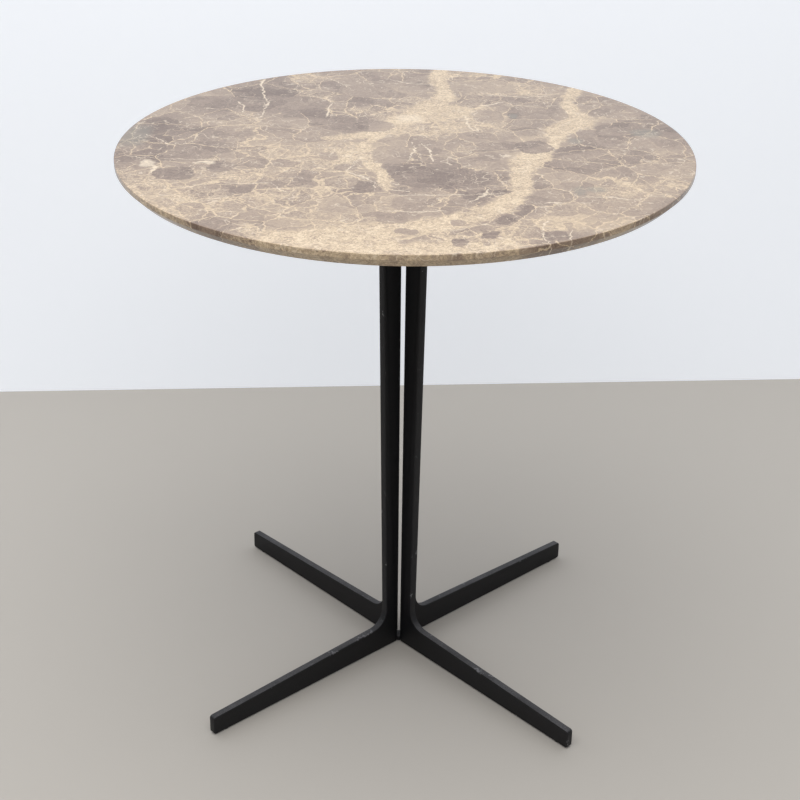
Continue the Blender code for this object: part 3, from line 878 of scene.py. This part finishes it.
def powder_coat():
    made, tree, shader = finish_named("black_powder_coat")
    place = part(tree, "ShaderNodeTexCoord", out="Object")
    facing = part(tree, "ShaderNodeNewGeometry", out="Normal")
    arris = part(tree, "ShaderNodeAttribute", None, {"attribute_name": "arris"}, "Fac")
    peel = use(tree, PEEL, {"Place": place, "Scale": 620.0})
    grain = peel.node.outputs["Grain"]
    worn = use(tree, WEAR, {"Place": place, "Edge": arris, "Amount": 0.22})
    dust_and_top_light = use(tree, DUST_AND_TOP_LIGHT, {"Place": place, "Facing": facing, "Amount": 0.78})
    glint = step(tree, grain, 0.46, 0.66)
    shade = blend(tree, glint, COAT_BLACK, [v * 4 for v in COAT_BLACK])
    # Painted highlight: every arris is lightened a tenth of the way to grey.
    arris_highlight = calc(tree, "MULTIPLY", arris, 0.10)
    shade = blend(tree, arris_highlight, shade, (0.06, 0.06, 0.065))
    # What faces up is greyed, partly by dust and partly as painted light from above.
    shade = blend(tree, dust_and_top_light, shade, DUST_AND_TOP_LIGHT_GREY)
    shade = blend(tree, worn, shade, COAT_WORN)
    tree.links.new(shade, shader.inputs["Base Color"])
    dull = calc(tree, "MULTIPLY_ADD", grain, 0.16, 0.40)
    dull = calc(tree, "MULTIPLY_ADD", dust_and_top_light, 0.30, dull)
    tree.links.new(dull, shader.inputs["Roughness"])
    relief = part(tree, "ShaderNodeBump", {"Strength": 0.22, "Distance": 0.0004, "Height": peel})
    tree.links.new(relief, shader.inputs["Normal"])
    shader.inputs["Specular IOR Level"].default_value = 0.26
    return made


coat = powder_coat()
blade_mesh = leg_blade()
for side in CORNERS:
    turn = math.radians(LEG_ANGLES[side])
    fitted("leg_" + side, moved(blade_mesh, turn=turn), coat)


# ---------------------------------------------------------------------------------------------
# Foot hub. A short slug of steel bar that the four heels are welded to, coated with them. Its
# rim is filed round so that the coat holds.
# ---------------------------------------------------------------------------------------------
HUB_ROUND = 0.0008


def foot_hub():
    """A rod with both rims rounded and a shallow dome over its top, z = top - r^2 / (80 R)."""
    radius = (hub_high.x - hub_low.x) / 2
    inner = (radius - HUB_ROUND) * np.linspace(0, 1, 5)[1:, None]
    dome = np.hstack((inner, hub_high.z - inner**2 / (80 * radius)))
    rim = eased_outline([
        (0.0, hub_high.z, 0.0),
        (radius, hub_high.z - HUB_ROUND / 8, HUB_ROUND),
        (radius, hub_low.z, HUB_ROUND / 2),
        (0.0, hub_low.z, 0.0),
    ])
    return turned("foot_hub", np.vstack((rim[:1], dome, rim[1:])), 64)


fitted("foot_hub", foot_hub(), coat)


# ---------------------------------------------------------------------------------------------
# Mounting plate. A round of 5 mm steel under the marble, countersunk for the posts' screws and
# drilled clear for the top's, coated with the blades.
# ---------------------------------------------------------------------------------------------
plate_low, plate_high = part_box("mounting_plate")
PLATE_ARRIS = 0.0006
PLATE_STEPS = 192
DRILL_TURN = math.radians(1.3)  # keeps the drills' facets off the disc's spokes
POST_SCREW_HEAD = 0.0096
TOP_SCREW_SHANK = 0.0060


def mounting_plate():
    edge = plate_high.x
    rim = eased_outline([
        (0.0, plate_high.z, 0.0),
        (edge, plate_high.z, PLATE_ARRIS),
        (edge, plate_low.z, PLATE_ARRIS),
        (0.0, plate_low.z, 0.0),
    ])
    rings = np.array((0.3, 0.6, 0.9, 0.985))[:, None] * edge
    face = np.hstack((rings, np.full_like(rings, plate_high.z)))
    under = np.hstack((rings[::-1], np.full_like(rings, plate_low.z)))
    profile = np.vstack((rim[:1], face, rim[1:-1], under, rim[-1:]))
    overrun = (plate_high.z - plate_low.z) / 4
    shank, head = SCREW_SHANK / 2 + CLEARANCE, POST_SCREW_HEAD / 2 + CLEARANCE
    sink = (POST_SCREW_HEAD - SCREW_SHANK) / 2
    countersink = turned("countersink", [
        (0.0, plate_high.z + overrun),
        (head + overrun, plate_high.z + overrun),
        (shank, plate_high.z - sink),
        (shank, plate_low.z - overrun),
        (0.0, plate_low.z - overrun),
    ], 48)
    clear = rod("clear_drill", TOP_SCREW_SHANK / 2 + CLEARANCE, plate_low.z - overrun,
                plate_high.z + overrun)
    drills = []
    for side in CORNERS:
        for row in ("inner", "outer"):
            at = middle_of(f"post_screw_{side}_{row}")
            drills.append(moved(countersink, *at, turn=DRILL_TURN))
    for side in SIDES:
        drills.append(moved(clear, *middle_of("top_screw_" + side), turn=DRILL_TURN))
    return drilled(turned("plate_disc", profile, PLATE_STEPS), drills)


fitted("mounting_plate", mounting_plate(), coat)


# ---------------------------------------------------------------------------------------------
# Screws and washers. Zinc-plated steel: countersunk M5 screws hold the plate on the posts, and
# M6 button-head screws with washers hold the marble from below. All have hexagon sockets.
# ---------------------------------------------------------------------------------------------
ZINC = (0.56, 0.57, 0.58)
SCREW_STEPS = 48
SOCKET_EASE = 0.0002
THREAD_ROWS = 8
SCREW_POINT = 0.0006
POST_SCREW_NECK = 0.0008
TOP_SCREW_NECK = 0.0010
TOP_SCREW_POINT = 0.0007
TOP_SCREW_FACE = 0.72  # the flat face over the head's width
POST_SCREW_SOCKET = 0.0030
POST_SCREW_PITCH = 0.0008
TOP_SCREW_HEAD = 0.0105
TOP_SCREW_HEAD_HEIGHT = 0.0033
TOP_SCREW_SOCKET = 0.0040
TOP_SCREW_PITCH = 0.0010


def hexagon(angle):
    """A hexagon's radius as a share of its corner's: cos 30 over cos of the angle from a side."""
    return math.cos(math.pi / 6) / np.cos(angle % (math.pi / 3) - math.pi / 6)


def threaded(pitch, low, high, shank, socket_rows):
    """The radius of a screw's surface: a hexagon on the socket's rows, and a V thread on the shank.

    Between low and high the shank's radius falls by 0.6 pitch times the distance of
    (z / pitch - angle / turn) from its nearest whole number.
    """
    def shape(row, angle, r, z):
        wave = np.abs((z / pitch - angle / (2 * np.pi)) % 1 - 0.5)
        cut = (z > low) & (z < high) & (np.abs(r - shank) < 1e-6)
        r = np.where(cut, r - 0.6 * pitch * wave, r)
        return np.where(np.isin(row, socket_rows), r * hexagon(angle), r)
    return shape


def thread_lines(radius, start, end, pitch):
    """Profile points down a shank, close enough to carry its thread."""
    count = int(abs(end - start) / pitch * THREAD_ROWS)
    z = np.linspace(start, end, count)
    return np.stack((np.full_like(z, radius), z), 1)


def post_screw():
    """Countersunk: out over the socket's floor, up its wall, over the head and down the shank."""
    low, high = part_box("post_screw_front_left_inner")
    head, shank = POST_SCREW_HEAD / 2, SCREW_SHANK / 2
    sink = head - shank
    key = POST_SCREW_SOCKET / 2 / math.cos(math.pi / 6)
    floor = high.z - sink * 0.8
    start, end = high.z - sink - POST_SCREW_NECK, low.z + SCREW_POINT
    profile = np.vstack((
        [(0, floor), (key, floor), (key, high.z - SOCKET_EASE), (key + SOCKET_EASE, high.z)],
        [(head - SOCKET_EASE, high.z), (head, high.z - SOCKET_EASE), (shank, high.z - sink)],
        thread_lines(shank, start, end, POST_SCREW_PITCH),
        [(shank - SCREW_POINT, low.z), (0, low.z)],
    ))
    shape = threaded(POST_SCREW_PITCH, end, start, shank, (0, 1))
    return turned("post_screw", profile, SCREW_STEPS, shape)


def top_screw():
    """Button head down: down the threaded shank, out under the seat, round the head, into the socket."""
    low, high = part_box("top_screw_front")
    head, shank = TOP_SCREW_HEAD / 2, TOP_SCREW_SHANK / 2
    seat = low.z + TOP_SCREW_HEAD_HEIGHT
    key = TOP_SCREW_SOCKET / 2 / math.cos(math.pi / 6)
    roof = low.z + TOP_SCREW_HEAD_HEIGHT * 0.6
    start, end = high.z - TOP_SCREW_POINT, seat + TOP_SCREW_NECK
    button = eased_outline([
        (head - 0.0003, seat, 0.0),
        (head, seat - 0.0002, 0.0002),
        (head, low.z + TOP_SCREW_HEAD_HEIGHT * 0.45, 0.0012),
        (head * TOP_SCREW_FACE, low.z, 0.0014),
        (key + 2 * SOCKET_EASE, low.z, 0.0),
    ])
    profile = np.vstack((
        [(0, high.z), (shank - TOP_SCREW_POINT, high.z)],
        thread_lines(shank, start, end, TOP_SCREW_PITCH),
        [(shank, seat)],
        button,
        [(key + SOCKET_EASE, low.z), (key, low.z + SOCKET_EASE), (key, roof), (0, roof)],
    ))
    rows = len(profile) - 2
    shape = threaded(TOP_SCREW_PITCH, end, start, shank, (rows - 2, rows - 1))
    return turned("top_screw", profile, SCREW_STEPS, shape)


def eased_ring(name, node, bore, ease, steps=64, shape=None):
    """A ring that fills the node's box round its own middle, with rounded edges."""
    low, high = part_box(node)
    outer = (high.x - low.x) / 2
    walls = eased_outline([
        (bore, high.z, ease / 2), (outer, high.z, ease), (outer, low.z, ease), (bore, low.z, ease / 2),
    ], closed=True)
    return turned(name, walls, steps, shape, ring=True)


def zinc_plate():
    """Bright zinc over turned steel: a fine random grain, and clouds in its colour and roughness."""
    made, tree, shader = finish_named("zinc_plated_steel")
    place = part(tree, "ShaderNodeTexCoord", out="Object")
    peel = use(tree, PEEL, {"Place": place, "Scale": 1500.0})
    grain = peel.node.outputs["Grain"]
    clouds = noise(tree, place, 160.0, 2.0, 0.5)
    shade = blend(tree, step(tree, clouds, 0.35, 0.65), ZINC, (0.48, 0.47, 0.44))
    tree.links.new(shade, shader.inputs["Base Color"])
    dull = calc(tree, "MULTIPLY_ADD", grain, 0.20, 0.22)
    tree.links.new(calc(tree, "MULTIPLY_ADD", clouds, 0.12, dull), shader.inputs["Roughness"])
    relief = part(tree, "ShaderNodeBump", {"Strength": 0.12, "Distance": 0.0001, "Height": peel})
    tree.links.new(relief, shader.inputs["Normal"])
    shader.inputs["Metallic"].default_value = 1.0
    return made


zinc = zinc_plate()
post_screw_mesh, top_screw_mesh = post_screw(), top_screw()
washer_mesh = eased_ring("washer", "top_washer_front", TOP_SCREW_SHANK / 2 + CLEARANCE, 0.0003)
for side in CORNERS:
    for row in ("inner", "outer"):
        name = f"post_screw_{side}_{row}"
        fitted(name, moved(post_screw_mesh, *middle_of(name)), zinc)
for index, side in enumerate(SIDES):
    at = middle_of("top_screw_" + side)
    turn = math.radians(17 * index)
    fitted("top_screw_" + side, moved(top_screw_mesh, *at, turn=turn), zinc)
    fitted("top_washer_" + side, moved(washer_mesh, *at), zinc)


# ---------------------------------------------------------------------------------------------
# Pads and inserts. A rubber disc under the stone at each screw keeps steel off marble, and a
# knurled brass insert, glued into a blind hole in the stone, takes the screw.
# ---------------------------------------------------------------------------------------------
RUBBER_BLACK = (0.030, 0.030, 0.030)
RUBBER_BLOOM = (0.055, 0.053, 0.050)
BRASS = (0.66, 0.48, 0.22)
KNURL_DEPTH = 0.00025
KNURL_COUNT = 36


def knurled(row, angle, r, z):
    """Fine ridges along the outside: the radius falls by a share of |sin| of the ridge angle."""
    outer = r > INSERT_HOLE - 0.0006
    return np.where(outer, r - KNURL_DEPTH * np.abs(np.sin(angle * KNURL_COUNT / 2)), r)


def moulded(name, deep, pale, scale, dullness, uneven, strength, depth):
    """A matt moulded finish: its grain moves the colour, the dullness and the surface a little."""
    made, tree, shader = finish_named(name)
    place = part(tree, "ShaderNodeTexCoord", out="Object")
    peel = use(tree, PEEL, {"Place": place, "Scale": scale})
    grain = peel.node.outputs["Grain"]
    tree.links.new(blend(tree, grain, deep, pale), shader.inputs["Base Color"])
    tree.links.new(calc(tree, "MULTIPLY_ADD", grain, uneven, dullness), shader.inputs["Roughness"])
    relief = part(tree, "ShaderNodeBump", {"Strength": strength, "Distance": depth, "Height": peel})
    tree.links.new(relief, shader.inputs["Normal"])
    return made


def brass():
    made, tree, shader = finish_named("brass_insert")
    place = part(tree, "ShaderNodeTexCoord", out="Object")
    tarnish = step(tree, noise(tree, place, 240.0, 3.0, 0.6), 0.35, 0.70)
    tree.links.new(blend(tree, tarnish, BRASS, (0.42, 0.29, 0.12)), shader.inputs["Base Color"])
    tree.links.new(calc(tree, "MULTIPLY_ADD", tarnish, 0.20, 0.26), shader.inputs["Roughness"])
    shader.inputs["Metallic"].default_value = 1.0
    return made


rubber_black = moulded("rubber_pad", RUBBER_BLACK, RUBBER_BLOOM, 900.0, 0.75, 0.15, 0.3, 0.0003)
turned_brass = brass()
bore = TOP_SCREW_SHANK / 2 + CLEARANCE
pad_mesh = eased_ring("pad", "top_pad_front", bore, 0.0004, 96)
insert_mesh = eased_ring("insert", "top_insert_front", bore, 0.0004, KNURL_COUNT * 6, knurled)
for side in SIDES:
    at = middle_of("top_insert_" + side)
    fitted("top_pad_" + side, moved(pad_mesh, *at), rubber_black)
    fitted("top_insert_" + side, moved(insert_mesh, *at), turned_brass)


# ---------------------------------------------------------------------------------------------
# Glides. Black nylon buttons pressed into the undersides of the feet, a stem and a flat head.
# ---------------------------------------------------------------------------------------------
NYLON_BLACK = (0.018, 0.018, 0.018)
NYLON_GREY = (0.04, 0.04, 0.038)
GLIDE_HEAD_THICKNESS = 0.0012


def glide():
    """Down the stem, out under the foot, round the head's rim and in over its flat underside."""
    low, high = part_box("glide_rear_right")
    head, stem = (high.x - low.x) / 2, GLIDE_STEM / 2
    return turned("glide", eased_outline([
        (0.0, high.z, 0.0),
        (stem, high.z, 0.0006),
        (stem, GLIDE_HEAD_THICKNESS, 0.0003),
        (head, GLIDE_HEAD_THICKNESS, 0.0002),
        (head, 0.0, 0.0004),
        (0.0, 0.0, 0.0),
    ]), 48)


black_nylon = moulded("black_nylon", NYLON_BLACK, NYLON_GREY, 1100.0, 0.42, 0.2, 0.2, 0.0002)
glide_mesh = glide()
for side in CORNERS:
    name = "glide_" + side
    fitted(name, moved(glide_mesh, *middle_of(name)), black_nylon)
